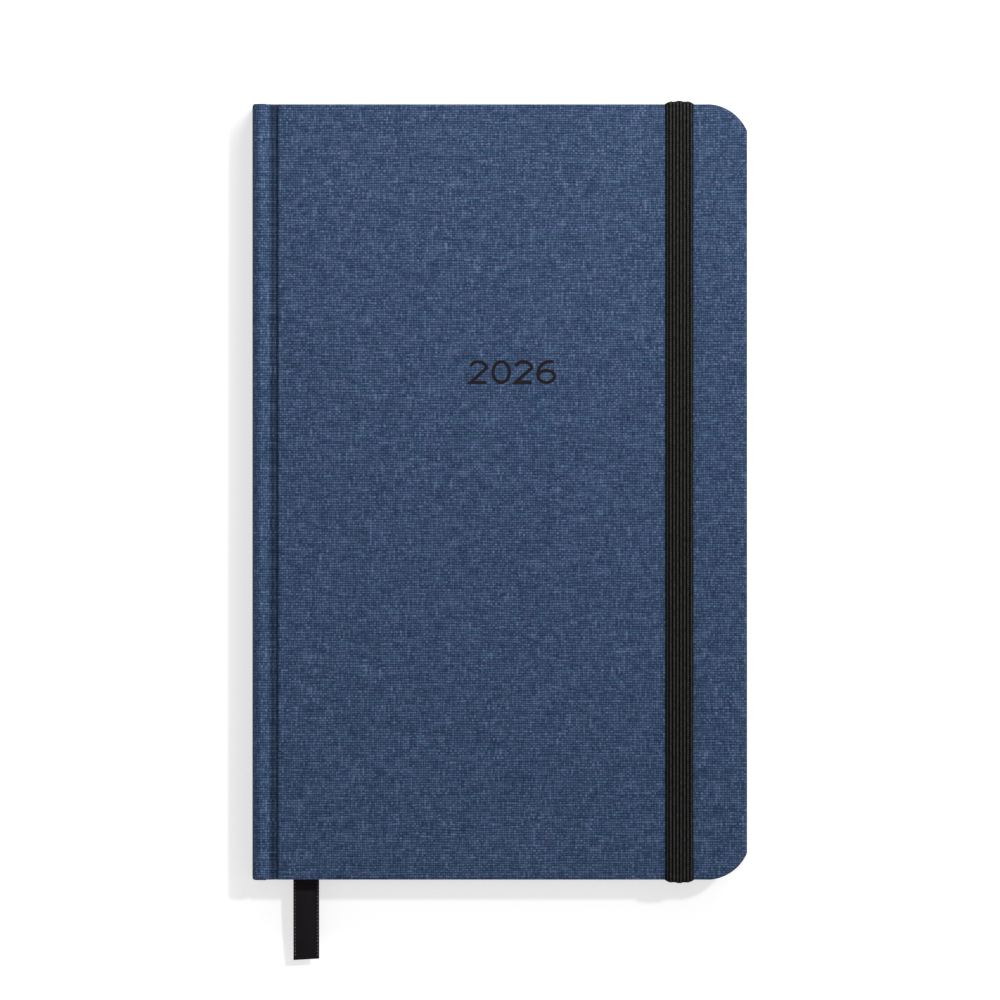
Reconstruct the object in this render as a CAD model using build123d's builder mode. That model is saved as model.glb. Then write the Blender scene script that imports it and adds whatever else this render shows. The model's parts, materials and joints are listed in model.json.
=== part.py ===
from build123d import *
import os

# A cloth-bound logbook: hard case, sewn text block, ribbon marker and elastic strap.
# The book lies on its back cover. +X runs from the spine to the fore-edge, +Y from the tail
# to the head, +Z from the back cover to the front cover. The origin is the centre of the
# back cover's outer face. Millimetres.

# Driving dimensions of the case
CASE_WIDTH = 134.0
CASE_HEIGHT = 210.0
CASE_THICKNESS = 15.0
CLOTH = 0.35
BOARD = 2.0
PASTEDOWN = 0.15
TURN_IN = 15.0
EDGE_ROUNDING = 0.6

# Fore-edge corners: each is a flat arc whose ends meet the straight edges at a slight kink
CORNER_RUN_X = 9.8
CORNER_RUN_Y = 7.2
CORNER_SAGITTA = 1.65

# Spine: a raised shoulder with a rounded outer corner, then a narrow pressed groove
SHOULDER = 5.1
SHOULDER_ROUNDING = 2.3
LIP_ROUNDING = 0.6
GROOVE = 1.8
JOINT_CLEARANCE = 0.1
SPINE_BOARD = 1.6
SPINE_TURN_IN = 0.35

# Text block
SQUARE = 3.0
PAGE_CORNER = 8.0
BLOCK_CLEARANCE = 0.05
LEAF = 0.10
LEAF_PITCH = 0.12
LEAVES = 8
SIGNATURES_BELOW = 9
SIGNATURES_ABOVE_RIBBON = 5
RIBBON_GAP = 0.30
THREAD_LAYER = 0.30
THREAD_STATIONS = (-80, -40, 0, 40, 80)
FOLD_ROUNDING = 0.45
BAND_RADIUS = 0.7
BAND_TAIL_GAP = 2.0
LINER_SHORT = 1.0
MULL = 0.20
LINER = 0.15
MULL_HALF_HEIGHT = 92.0
MULL_FLAP = 20.0
STUB_WIDTH = 3.5
BEND_LINE = 7.0
LEAF_START = 1.6

# Ribbon marker
RIBBON_WIDTH = 7.0
RIBBON = 0.20
RIBBON_X = -52.5
RIBBON_TAIL = 21.9
RIBBON_SLANT = 0.4
RIBBON_OVERHANG = 0.25
RIBBON_TUCK = 0.5
RIBBON_FIXED = (2.0, 10.0)
RIBBON_STRAIGHT = (45.0, 38.0)

# Elastic strap
STRAP_WIDTH = 7.5
STRAP = 0.90
STRAP_X = 48.65
STRAP_GAP = 0.05
STRAP_END = 20.0

# Year stamped on the front cover; the figures' proportions are shares of their height or width
FIGURE_HEIGHT = 6.5
FIGURE_WIDTH = 5.3
FIGURE_PITCH = 6.1
FIGURE_STROKE = 0.9
FIGURE_BASELINE = 29.2
FOIL = 0.06
STAMP_DEPTH = 0.14
TWO_HOOK = 0.75
TWO_SHOULDER = 0.68
SIX_BOWL = 0.32
SIX_STEM = (0.27, 0.8)
SIX_TIP = 0.85

# Places worked out from them
RIGHT = CASE_WIDTH / 2
TOP = CASE_HEIGHT / 2
COVER = CLOTH + BOARD + PASTEDOWN
FRONT_IN = CASE_THICKNESS - COVER
HINGE_EDGE = -RIGHT + SHOULDER + GROOVE
LIP = -RIGHT + SHOULDER
PANEL_CENTRE = (HINGE_EDGE + RIGHT) / 2
PAGE_RIGHT = RIGHT - SQUARE
PAGE_TOP = TOP - SQUARE
BLOCK_SPINE = -PAGE_RIGHT
BLOCK_LOW = COVER + BLOCK_CLEARANCE
BLOCK_HIGH = FRONT_IN - BLOCK_CLEARANCE
LEAVES_LOW = BLOCK_HIGH - (LEAVES + 1) * LEAF_PITCH
SIGNATURE = (LEAVES_LOW - BLOCK_LOW - LEAF_PITCH - RIBBON_GAP) / SIGNATURES_BELOW
RIBBON_LOW = LEAVES_LOW - SIGNATURES_ABOVE_RIBBON * SIGNATURE - RIBBON_GAP
STUB_END = BLOCK_SPINE + STUB_WIDTH
LEAF_LEFT = BLOCK_SPINE + BEND_LINE + LEAF_START
STRAP_LOW = COVER - PASTEDOWN - STRAP
STRAP_HIGH = CASE_THICKNESS + STRAP_GAP + STRAP
LINER_TOP = PAGE_TOP - LINER_SHORT


def panel_face(inset, left):
    """Plan outline of a cover, inset from the case's edge, from x = left to the fore-edge."""
    right = RIGHT - inset
    top = TOP - inset
    with BuildSketch() as panel:
        with BuildLine():
            Line((left, -top), (right - CORNER_RUN_X, -top))
            SagittaArc((right - CORNER_RUN_X, -top), (right, CORNER_RUN_Y - top), -CORNER_SAGITTA)
            Line((right, CORNER_RUN_Y - top), (right, top - CORNER_RUN_Y))
            SagittaArc((right, top - CORNER_RUN_Y), (right - CORNER_RUN_X, top), -CORNER_SAGITTA)
            Polyline((right - CORNER_RUN_X, top), (left, top), (left, -top))
        make_face()
    return panel.sketch


def page_face(left):
    """Plan outline of a page, from x = left to the fore-edge, with rounded outer corners."""
    with BuildSketch() as page:
        with Locations(((left + PAGE_RIGHT) / 2, 0)):
            Rectangle(PAGE_RIGHT - left, 2 * PAGE_TOP)
        fillet(page.vertices().group_by(Axis.X)[-1], PAGE_CORNER)
    return page.sketch


def block(x, y, z):
    """A box given by its (low, high) pair on each axis."""
    with BuildPart() as box:
        with BuildSketch(Plane.XY.offset(z[0])):
            with Locations((sum(x) / 2, sum(y) / 2)):
                Rectangle(x[1] - x[0], y[1] - y[0])
        extrude(amount=z[1] - z[0])
    return box.part


def spine_inside():
    """Cross-section of the room inside the spine cloth, in X and Z."""
    with BuildSketch(Plane.XZ) as room:
        width = SHOULDER - 2 * CLOTH
        with Locations((-RIGHT + CLOTH + width / 2, CASE_THICKNESS / 2)):
            Rectangle(width, CASE_THICKNESS - 2 * CLOTH)
        fillet(room.vertices().group_by(Axis.X)[0], SHOULDER_ROUNDING - CLOTH)
    return room.sketch


def ring(half_height):
    """An oval ring one stroke wide, as wide as a figure, standing on y = 0."""
    with BuildSketch() as oval:
        with Locations((FIGURE_WIDTH / 2, half_height)):
            Ellipse(FIGURE_WIDTH / 2, half_height)
            Ellipse(FIGURE_WIDTH / 2 - FIGURE_STROKE, half_height - FIGURE_STROKE, mode=Mode.SUBTRACT)
    return oval.sketch


def figure_two():
    """A 2 with its lower left corner at 0, 0: hook, diagonal and foot."""
    low = FIGURE_STROKE / 2
    right = FIGURE_WIDTH - low
    high = FIGURE_HEIGHT - low
    shoulder = (right, TWO_SHOULDER * FIGURE_HEIGHT)
    with BuildSketch() as figure:
        with BuildLine():
            ThreePointArc((low, TWO_HOOK * FIGURE_HEIGHT), (FIGURE_WIDTH / 2, high), shoulder)
            Polyline(shoulder, (low, low), (right, low))
        trace(line_width=FIGURE_STROKE)
    return figure.sketch


def figure_six():
    """A 6 with its lower left corner at 0, 0: a bowl, and a curved stem to the full height."""
    half_height = SIX_BOWL * FIGURE_HEIGHT
    low = FIGURE_STROKE / 2
    stem_top = (SIX_TIP * FIGURE_WIDTH, FIGURE_HEIGHT - low)
    with BuildSketch() as figure:
        add(ring(half_height))
        with BuildLine():
            middle = (SIX_STEM[0] * FIGURE_WIDTH, SIX_STEM[1] * FIGURE_HEIGHT)
            ThreePointArc((low, half_height), middle, stem_top)
        trace(line_width=FIGURE_STROKE)
    return figure.sketch


def year_face():
    """Plan shape of the year's four figures, centred on the front panel."""
    figures = (figure_two(), ring(FIGURE_HEIGHT / 2), figure_two(), figure_six())
    first = PANEL_CENTRE - 1.5 * FIGURE_PITCH - FIGURE_WIDTH / 2
    with BuildSketch() as year:
        for place, figure in enumerate(figures):
            with Locations((first + place * FIGURE_PITCH, FIGURE_BASELINE)):
                add(figure)
    return year.sketch


def cover_board(low):
    """A cover board, thinner along three edges where the cloth turns in. Outer face up."""
    with BuildPart() as board:
        with BuildSketch(Plane.XY.offset(low)):
            add(panel_face(TURN_IN, HINGE_EDGE + CLOTH))
        extrude(amount=CLOTH)
        with BuildSketch(Plane.XY.offset(low + CLOTH)):
            add(panel_face(CLOTH, HINGE_EDGE + CLOTH))
        extrude(amount=BOARD - CLOTH)
    return board.part


def cover_cloth(low):
    """Cloth over a board: outer sheet, wrapped edges and turned-in rim. Outer face up."""
    with BuildPart() as cloth:
        add(block((HINGE_EDGE, RIGHT), (-TOP, TOP), (low, low + BOARD + CLOTH)))
        fillet(cloth.faces().sort_by(Axis.Z)[-1].edges(), EDGE_ROUNDING)
        with BuildSketch(Plane.XY.offset(low)):
            add(panel_face(0, HINGE_EDGE))
        extrude(amount=BOARD + CLOTH, mode=Mode.INTERSECT)
        with BuildSketch(Plane.XY.offset(low)):
            add(panel_face(TURN_IN, HINGE_EDGE - CLOTH))
        extrude(amount=CLOTH, mode=Mode.SUBTRACT)
        add(cover_board(low), mode=Mode.SUBTRACT)
    return cloth.part


def turned_over(shape):
    """The same shape for the back cover: mirrored through the book's middle height."""
    return mirror(shape, about=Plane.XY.offset(CASE_THICKNESS / 2), mode=Mode.PRIVATE)


def mull_flap_box():
    """Room for the mull's flap, pressed into the hidden face of the front pastedown."""
    x = (HINGE_EDGE + CLOTH, HINGE_EDGE + MULL_FLAP)
    y = (-MULL_HALF_HEIGHT, MULL_HALF_HEIGHT)
    return block(x, y, (FRONT_IN + PASTEDOWN / 2, FRONT_IN + PASTEDOWN))


def strap_slot(end):
    """Room for one glued end of the strap; end is 1 at the head and -1 at the tail."""
    y = sorted((end * (TOP - STRAP_END), end * TOP))
    x = (STRAP_X - STRAP_WIDTH / 2, STRAP_X + STRAP_WIDTH / 2)
    return block(x, y, (STRAP_LOW, COVER - PASTEDOWN))


pieces = {}


def keep(name, part):
    """Labels a finished piece and stores it for export."""
    part.label = name
    pieces[name] = part


# Front cover
INNER_LOW = FRONT_IN + PASTEDOWN

with BuildPart() as front_board:
    add(cover_board(INNER_LOW))
keep("front_board", front_board.part)

with BuildPart() as front_cover_cloth:
    add(cover_cloth(INNER_LOW))
    with BuildSketch(Plane.XY.offset(CASE_THICKNESS)):
        add(year_face())
    extrude(amount=-STAMP_DEPTH, mode=Mode.SUBTRACT)
keep("front_cover_cloth", front_cover_cloth.part)

with BuildPart() as year_stamp:
    with BuildSketch(Plane.XY.offset(CASE_THICKNESS - STAMP_DEPTH)):
        add(year_face())
    extrude(amount=FOIL)
keep("year_stamp", year_stamp.part)

with BuildPart() as front_pastedown:
    with BuildSketch(Plane.XY.offset(FRONT_IN)):
        add(page_face(HINGE_EDGE + CLOTH))
    extrude(amount=PASTEDOWN)
    add(mull_flap_box(), mode=Mode.SUBTRACT)
keep("front_pastedown", front_pastedown.part)

with BuildPart() as front_mull_flap:
    add(mull_flap_box())
keep("front_mull_flap", front_mull_flap.part)

# Back cover, the front cover turned over, with a slot at each end for the strap
with BuildPart() as back_board:
    add(turned_over(cover_board(INNER_LOW)))
    for end in (1, -1):
        add(strap_slot(end), mode=Mode.SUBTRACT)
keep("back_board", back_board.part)

with BuildPart() as back_cover_cloth:
    add(turned_over(cover_cloth(INNER_LOW)))
    for end in (1, -1):
        add(strap_slot(end), mode=Mode.SUBTRACT)
keep("back_cover_cloth", back_cover_cloth.part)

with BuildPart() as back_pastedown:
    with BuildSketch(Plane.XY.offset(COVER - PASTEDOWN)):
        add(page_face(HINGE_EDGE + CLOTH))
    extrude(amount=PASTEDOWN)
    add(turned_over(mull_flap_box()), mode=Mode.SUBTRACT)
keep("back_pastedown", back_pastedown.part)

with BuildPart() as back_mull_flap:
    add(turned_over(mull_flap_box()))
keep("back_mull_flap", back_mull_flap.part)

# Elastic strap: a band over the front cover and both edges, glued into the back cover
with BuildPart() as elastic_strap:
    with BuildSketch(Plane.YZ.offset(STRAP_X)) as loop:
        with Locations((0, (STRAP_LOW + STRAP_HIGH) / 2)):
            Rectangle(2 * (TOP + STRAP_GAP + STRAP), STRAP_HIGH - STRAP_LOW)
        fillet(loop.vertices().group_by(Axis.Z)[-1], STRAP)
        with Locations((0, (STRAP_LOW + STRAP_HIGH - STRAP) / 2)):
            Rectangle(2 * (TOP + STRAP_GAP), STRAP_HIGH - STRAP - STRAP_LOW, mode=Mode.SUBTRACT)
    extrude(amount=STRAP_WIDTH / 2, both=True)
keep("elastic_strap", elastic_strap.part)

for end_name, end in (("head", 1), ("tail", -1)):
    with BuildPart() as strap_end:
        add(strap_slot(end))
    keep(f"strap_end_{end_name}", strap_end.part)

# Spine: cloth in a C, with its ends turned in over the spine board
with BuildPart() as spine_cloth:
    with BuildSketch(Plane.XZ) as spine_section:
        with Locations((-RIGHT + SHOULDER / 2, CASE_THICKNESS / 2)):
            Rectangle(SHOULDER, CASE_THICKNESS)
        fillet(spine_section.vertices().group_by(Axis.X)[0], SHOULDER_ROUNDING)
        fillet(spine_section.vertices().group_by(Axis.X)[-1], LIP_ROUNDING)
        add(spine_inside(), mode=Mode.SUBTRACT)
        with Locations((LIP, CASE_THICKNESS / 2)):
            Rectangle(4 * CLOTH, FRONT_IN - COVER + 2 * PASTEDOWN + 2 * CLOTH, mode=Mode.SUBTRACT)
    extrude(amount=TOP, both=True)
    cap_x = (-RIGHT + CLOTH / 2, -RIGHT + 2 * CLOTH + SPINE_BOARD)
    turned_x = (cap_x[1] - SPINE_TURN_IN, cap_x[1])
    rise = (SHOULDER_ROUNDING, CASE_THICKNESS - SHOULDER_ROUNDING)
    for end in (1, -1):
        add(block(cap_x, sorted((end * (TOP - CLOTH), end * TOP)), rise))
        add(block(turned_x, sorted((end * (TOP - TURN_IN), end * TOP)), rise))
keep("spine_cloth", spine_cloth.part)

with BuildPart() as spine_board:
    with BuildSketch(Plane.XZ):
        add(spine_inside())
        with Locations((-RIGHT + CLOTH + SPINE_BOARD / 2, CASE_THICKNESS / 2)):
            Rectangle(SPINE_BOARD, CASE_THICKNESS, mode=Mode.INTERSECT)
    extrude(amount=TOP - CLOTH, both=True)
keep("spine_board", spine_board.part)

with BuildPart() as front_joint_cloth:
    add(block((LIP - CLOTH, HINGE_EDGE - JOINT_CLEARANCE), (-TOP, TOP), (INNER_LOW, INNER_LOW + CLOTH)))
keep("front_joint_cloth", front_joint_cloth.part)

with BuildPart() as back_joint_cloth:
    add(turned_over(front_joint_cloth.part))
keep("back_joint_cloth", back_joint_cloth.part)

# Text block: the first signature is a bound fold and eight loose leaves; nine more lie below
with BuildPart() as signature_01_fold:
    add(block((BLOCK_SPINE, STUB_END), (-PAGE_TOP, PAGE_TOP), (LEAVES_LOW, BLOCK_HIGH - LEAF_PITCH)))
    folds = signature_01_fold.edges().filter_by(Axis.Y).group_by(Axis.X)[0]
    fillet(folds, FOLD_ROUNDING * LEAVES * LEAF_PITCH)
keep("signature_01_fold", signature_01_fold.part)

with BuildPart() as front_endpaper_fold:
    add(block((BLOCK_SPINE, STUB_END), (-PAGE_TOP, PAGE_TOP), (BLOCK_HIGH - LEAF_PITCH, BLOCK_HIGH)))
keep("front_endpaper_fold", front_endpaper_fold.part)

leaf_names = [f"leaf_{number:02d}" for number in range(LEAVES, 0, -1)] + ["front_flyleaf"]
for level, leaf_name in enumerate(leaf_names):
    with BuildPart() as leaf:
        with BuildSketch(Plane.XY.offset(LEAVES_LOW + level * LEAF_PITCH + LEAF_PITCH - LEAF)):
            add(page_face(LEAF_LEFT))
        extrude(amount=LEAF)
    keep(leaf_name, leaf.part)

for number in range(SIGNATURES_BELOW):
    gap = RIBBON_GAP if number >= SIGNATURES_ABOVE_RIBBON else 0
    with BuildPart() as signature:
        with BuildSketch(Plane.XY.offset(LEAVES_LOW - (number + 1) * SIGNATURE - gap)):
            add(page_face(BLOCK_SPINE))
        extrude(amount=SIGNATURE)
        fillet(signature.edges().filter_by(Axis.Y).group_by(Axis.X)[0], FOLD_ROUNDING * SIGNATURE)
    keep(f"signature_{number + 2:02d}", signature.part)

with BuildPart() as back_flyleaf:
    with BuildSketch(Plane.XY.offset(BLOCK_LOW)):
        add(page_face(BLOCK_SPINE))
    extrude(amount=LEAF_PITCH)
keep("back_flyleaf", back_flyleaf.part)

# Spine linings, from the folds outwards: thread links, head and tail bands, mull, paper
with BuildPart() as sewing_thread:
    with BuildSketch(Plane.XY.offset(BLOCK_LOW + SIGNATURE / 2)):
        with Locations([(BLOCK_SPINE - THREAD_LAYER / 2, y) for y in THREAD_STATIONS]):
            Circle(THREAD_LAYER / 2)
    extrude(amount=BLOCK_HIGH - BLOCK_LOW - SIGNATURE)
keep("sewing_thread", sewing_thread.part)

for band_name, end in (("headband", 1), ("tailband", -1)):
    band_y = end * (PAGE_TOP + BAND_RADIUS + BLOCK_CLEARANCE)
    tail_y = sorted((end * (MULL_HALF_HEIGHT + BAND_TAIL_GAP), band_y))
    with BuildPart() as band:
        with BuildSketch(Plane.XY.offset(BLOCK_LOW)):
            with Locations((BLOCK_SPINE - THREAD_LAYER + BAND_RADIUS, band_y)):
                Circle(BAND_RADIUS)
            with Locations((BLOCK_SPINE - THREAD_LAYER / 2, sum(tail_y) / 2)):
                Rectangle(THREAD_LAYER, tail_y[1] - tail_y[0])
        extrude(amount=BLOCK_HIGH - BLOCK_LOW)
    keep(band_name, band.part)

MULL_X = (BLOCK_SPINE - THREAD_LAYER - MULL, BLOCK_SPINE - THREAD_LAYER)
with BuildPart() as spine_mull:
    add(block(MULL_X, (-MULL_HALF_HEIGHT, MULL_HALF_HEIGHT), (BLOCK_LOW, BLOCK_HIGH)))
keep("spine_mull", spine_mull.part)

with BuildPart() as spine_liner:
    add(block((MULL_X[0] - LINER, MULL_X[0]), (-LINER_TOP, LINER_TOP), (BLOCK_LOW, BLOCK_HIGH)))
keep("spine_liner", spine_liner.part)

# Ribbon marker: it leaves the spine at the head, runs down the page and out past the tail
RIBBON_LEFT = RIBBON_X - RIBBON_WIDTH / 2
RIBBON_RIGHT = RIBBON_X + RIBBON_WIDTH / 2
RIBBON_BEND_Y = -TOP - RIBBON_OVERHANG
RIBBON_ROOT_X = BLOCK_SPINE + RIBBON_TUCK
RIBBON_Z = RIBBON_LOW + (RIBBON_GAP - RIBBON) / 2
with BuildPart() as ribbon_marker:
    with BuildSketch(Plane.XY.offset(RIBBON_Z)):
        with BuildLine():
            Polyline(
                (RIBBON_ROOT_X, PAGE_TOP - RIBBON_FIXED[0]),
                (RIBBON_ROOT_X, PAGE_TOP - RIBBON_FIXED[1]),
                (RIBBON_LEFT, PAGE_TOP - RIBBON_STRAIGHT[0]),
                (RIBBON_LEFT, RIBBON_BEND_Y),
                (RIBBON_RIGHT, RIBBON_BEND_Y),
                (RIBBON_RIGHT, PAGE_TOP - RIBBON_STRAIGHT[1]),
                (RIBBON_ROOT_X, PAGE_TOP - RIBBON_FIXED[0]),
            )
        make_face()
    extrude(amount=RIBBON)
keep("ribbon_marker", ribbon_marker.part)

TAIL_START = RIBBON_BEND_Y - RIBBON
TAIL_END = -TOP - RIBBON_TAIL
with BuildPart() as ribbon_tail:
    with BuildSketch(Plane.XY.offset(RIBBON_Z)):
        with BuildLine():
            Polyline(
                (RIBBON_LEFT, TAIL_START),
                (RIBBON_LEFT, TAIL_END - RIBBON_SLANT / 2),
                (RIBBON_RIGHT, TAIL_END + RIBBON_SLANT / 2),
                (RIBBON_RIGHT, TAIL_START),
                (RIBBON_LEFT, TAIL_START),
            )
        make_face()
    extrude(amount=RIBBON)
keep("ribbon_tail", ribbon_tail.part)

os.makedirs("parts", exist_ok=True)
for name, piece in pieces.items():
    export_step(piece, f"parts/{name}.step")
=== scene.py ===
import json
import math
import random

import bmesh
import bpy
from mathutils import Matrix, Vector

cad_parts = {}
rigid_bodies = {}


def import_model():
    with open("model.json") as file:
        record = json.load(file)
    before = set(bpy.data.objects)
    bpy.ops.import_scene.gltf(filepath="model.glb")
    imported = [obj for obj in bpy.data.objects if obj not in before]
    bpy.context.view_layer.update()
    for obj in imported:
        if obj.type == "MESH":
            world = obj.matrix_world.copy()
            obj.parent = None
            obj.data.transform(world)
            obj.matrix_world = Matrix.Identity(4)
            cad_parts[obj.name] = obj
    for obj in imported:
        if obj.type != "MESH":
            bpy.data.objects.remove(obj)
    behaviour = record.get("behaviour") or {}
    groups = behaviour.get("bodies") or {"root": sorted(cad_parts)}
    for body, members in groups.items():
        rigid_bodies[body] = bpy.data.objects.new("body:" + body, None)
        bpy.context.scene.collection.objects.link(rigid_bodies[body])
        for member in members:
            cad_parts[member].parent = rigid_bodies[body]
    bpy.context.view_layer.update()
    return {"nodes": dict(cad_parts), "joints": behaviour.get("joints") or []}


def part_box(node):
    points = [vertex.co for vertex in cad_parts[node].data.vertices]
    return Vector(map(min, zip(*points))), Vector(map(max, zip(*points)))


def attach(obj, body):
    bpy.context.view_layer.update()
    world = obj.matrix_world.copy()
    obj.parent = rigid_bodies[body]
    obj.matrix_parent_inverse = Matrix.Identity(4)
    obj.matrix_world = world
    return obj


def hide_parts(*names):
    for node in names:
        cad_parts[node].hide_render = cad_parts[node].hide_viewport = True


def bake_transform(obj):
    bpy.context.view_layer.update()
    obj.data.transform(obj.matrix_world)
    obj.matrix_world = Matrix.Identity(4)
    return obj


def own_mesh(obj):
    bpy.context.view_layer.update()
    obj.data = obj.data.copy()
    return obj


# Looks of a cloth-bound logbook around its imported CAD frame. +X runs from the spine to the
# fore-edge, +Y from the tail to the head and +Z from the back cover to the front cover.
# Shapes are worked out in millimetres and turned into metres where a mesh is made.

MM = 0.001
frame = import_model()


def span(node):
    """(low, high) of a CAD node on each axis, in millimetres."""
    low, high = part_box(node)
    return [(low[axis] / MM, high[axis] / MM) for axis in range(3)]


COVER_X, COVER_Y, COVER_Z = span("front_cover_cloth")
PAGE_X, PAGE_Y, _ = span("signature_02")
RIGHT, TOP, THICK = COVER_X[1], COVER_Y[1], COVER_Z[1]
LEFT = span("spine_cloth")[0][0]
HINGE_EDGE = COVER_X[0]
COVER_IN = COVER_Z[0]
CLOTH = THICK - span("front_board")[2][1]
PIVOTS = {joint["name"]: joint["pos_m"] for joint in frame["joints"]}

# Shape of the case that the CAD boxes don't say
CORNER_RUN = (9.8, 7.2)
CORNER_SAGITTA = 1.65
SHOULDER_RADIUS = 2.3
LIP_START = HINGE_EDGE - 2.0
SPINE_SEAM = HINGE_EDGE - 3.3
GROOVE_FLOOR = COVER_IN + 1.15
SPINE_PROUD = 0.15


# ---------------------------------------------------------------- meshes

def make_piece(name, verts, faces, material, sharp=40):
    """A smooth-shaded mesh object from points in millimetres, edges over `sharp` degrees kept crisp."""
    mesh = bpy.data.meshes.new(name)
    mesh.from_pydata([tuple(c * MM for c in v) for v in verts], [], faces)
    shell = bmesh.new()
    shell.from_mesh(mesh)
    bmesh.ops.recalc_face_normals(shell, faces=shell.faces)
    shell.to_mesh(mesh)
    shell.free()
    mesh.shade_smooth()
    mesh.set_sharp_from_angle(angle=math.radians(sharp))
    mesh.materials.append(material)
    piece = bpy.data.objects.new(name, mesh)
    bpy.context.scene.collection.objects.link(piece)
    return piece


def remember_rest(piece):
    """Stores each point's place at rest, so that a pattern stays put when the piece bends."""
    mesh = piece.data
    rest = mesh.attributes.new("rest", "FLOAT_VECTOR", "POINT")
    rest.data.foreach_set("vector", [c for v in mesh.vertices for c in v.co])


def finish_piece(piece):
    """Last step before a piece is tied to its body: its rest places."""
    remember_rest(piece)


def loft(loops):
    """Closed solid through loops of equally many points, with both ends capped."""
    count = len(loops[0])
    verts = [point for loop in loops for point in loop]
    faces = []
    for row in range(len(loops) - 1):
        for i in range(count):
            k = (i + 1) % count
            a, b = row * count, (row + 1) * count
            faces.append((a + i, a + k, b + k, b + i))
    faces.append(tuple(range(count)))
    faces.append(tuple(range((len(loops) - 1) * count, len(loops) * count)))
    return verts, faces


def loft_in_strips(loops, columns):
    """Like loft(), with both caps cut into strips at their first columns."""
    count = len(loops[0])
    verts, faces = loft(loops)
    faces = faces[:-2]
    for base in (0, (len(loops) - 1) * count):
        for i in range(columns - 1):
            faces.append((base + i, base + i + 1, base + count - 2 - i, base + count - 1 - i))
        faces.append(tuple(base + i for i in range(columns - 1, count - columns + 1)))
    return verts, faces


def arc(start, end, sagitta, steps):
    """Points of the arc from start to end that bulges to the right of that direction by sagitta."""
    start, end = Vector(start), Vector(end)
    chord = end - start
    half = 2 * math.atan(2 * sagitta / chord.length)
    radius = chord.length / 2 / math.sin(half)
    side = Vector((chord.y, -chord.x)).normalized()
    along = chord.normalized()
    centre = (start + end) / 2 - side * radius * math.cos(half)
    points = []
    for i in range(steps + 1):
        angle = half * (2 * i / steps - 1)
        points.append(centre + side * radius * math.cos(angle) + along * radius * math.sin(angle))
    return [(p.x, p.y) for p in points]


def smooth(value, low, high):
    """0 below low, 1 above high, eased between."""
    t = min(1, max(0, (value - low) / (high - low)))
    return t * t * (3 - 2 * t)


def boolean(piece, other):
    """Cuts another object out of the piece, and removes that object."""
    modifier = piece.modifiers.new("cut", "BOOLEAN")
    modifier.operation = "DIFFERENCE"
    modifier.solver = "EXACT"
    modifier.object = other
    bpy.context.view_layer.update()
    result = bpy.data.meshes.new_from_object(
        piece.evaluated_get(bpy.context.evaluated_depsgraph_get()))
    piece.modifiers.clear()
    piece.data = result
    bpy.data.objects.remove(other)


# ---------------------------------------------------------------- materials

def shade(tree, kind, inputs=None, **settings):
    """Adds a shader node; inputs may be values or sockets to link."""
    made = tree.nodes.new("ShaderNode" + kind)
    for key, value in settings.items():
        setattr(made, key, value)
    for key, value in (inputs or {}).items():
        if isinstance(value, bpy.types.NodeSocket):
            tree.links.new(value, made.inputs[key])
        else:
            made.inputs[key].default_value = value
    return made


def calc(tree, operation, a, b=0.0, c=0.0):
    """One maths node's result."""
    return shade(tree, "Math", {0: a, 1: b, 2: c}, operation=operation).outputs[0]


def blend_colour(tree, factor, a, b, mode="MIX"):
    """Colour a towards colour b."""
    mixed = shade(tree, "Mix", {0: factor, 6: a, 7: b}, data_type="RGBA", blend_type=mode)
    return mixed.outputs[2]


def blend_value(tree, factor, a, b):
    """Value a towards value b."""
    return shade(tree, "Mix", {0: factor, 2: a, 3: b}, data_type="FLOAT").outputs[0]


def wave(tree, place, pitch):
    """A ridge of height 1 in the middle of each pitch, falling to 0 between ridges."""
    return calc(tree, "ABSOLUTE", calc(tree, "SINE", calc(tree, "MULTIPLY", place, math.pi / pitch)))


def noise(tree, vector, scale=1.0, detail=1.0):
    """Noise from 0 to 1."""
    made = shade(tree, "TexNoise", {"Vector": vector, "Scale": scale, "Detail": detail})
    return made.outputs["Fac"]


def combine(tree, x, y, z=0.0):
    """A vector from three values."""
    return shade(tree, "CombineXYZ", {0: x, 1: y, 2: z}).outputs[0]


def grain(tree, x, y, stretch, seed=0.0, detail=1.0):
    """Noise over x and y, each first scaled by its stretch; another seed gives another pattern."""
    scaled_x = calc(tree, "MULTIPLY", x, stretch[0])
    scaled_y = calc(tree, "MULTIPLY", y, stretch[1])
    return noise(tree, combine(tree, scaled_x, scaled_y, seed), 1.0, detail)


def linear(red, green, blue):
    """An sRGB colour from 0 to 255 as a linear colour with alpha."""
    def one(c):
        c /= 255
        return c / 12.92 if c <= 0.04045 else ((c + 0.055) / 1.055) ** 2.4
    return (one(red), one(green), one(blue), 1.0)


MATT_SPECULAR = 0.1


def start_material(name, roughness, rides_cad=False):
    """A new material, its node tree, its principled shader and its x, y, z in millimetres at rest."""
    material = bpy.data.materials.new(name)
    material.use_nodes = True
    tree = material.node_tree
    surface = tree.nodes["Principled BSDF"]
    surface.inputs["Roughness"].default_value = roughness
    surface.inputs["Specular IOR Level"].default_value = MATT_SPECULAR
    if rides_cad:
        place = shade(tree, "TexCoord").outputs["Object"]
    else:
        place = shade(tree, "Attribute", attribute_name="rest").outputs["Vector"]
    scaled = shade(tree, "VectorMath", {0: place, "Scale": 1 / MM}, operation="SCALE").outputs[0]
    xyz = shade(tree, "SeparateXYZ", {0: scaled}).outputs
    return material, tree, surface, xyz


def add_bump(tree, surface, height, depth, strength=1.0):
    """Relief of `depth` millimetres from a 0 to 1 height."""
    bump = shade(tree, "Bump", {"Height": height, "Distance": depth * MM, "Strength": strength})
    tree.links.new(bump.outputs[0], surface.inputs["Normal"])


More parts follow.
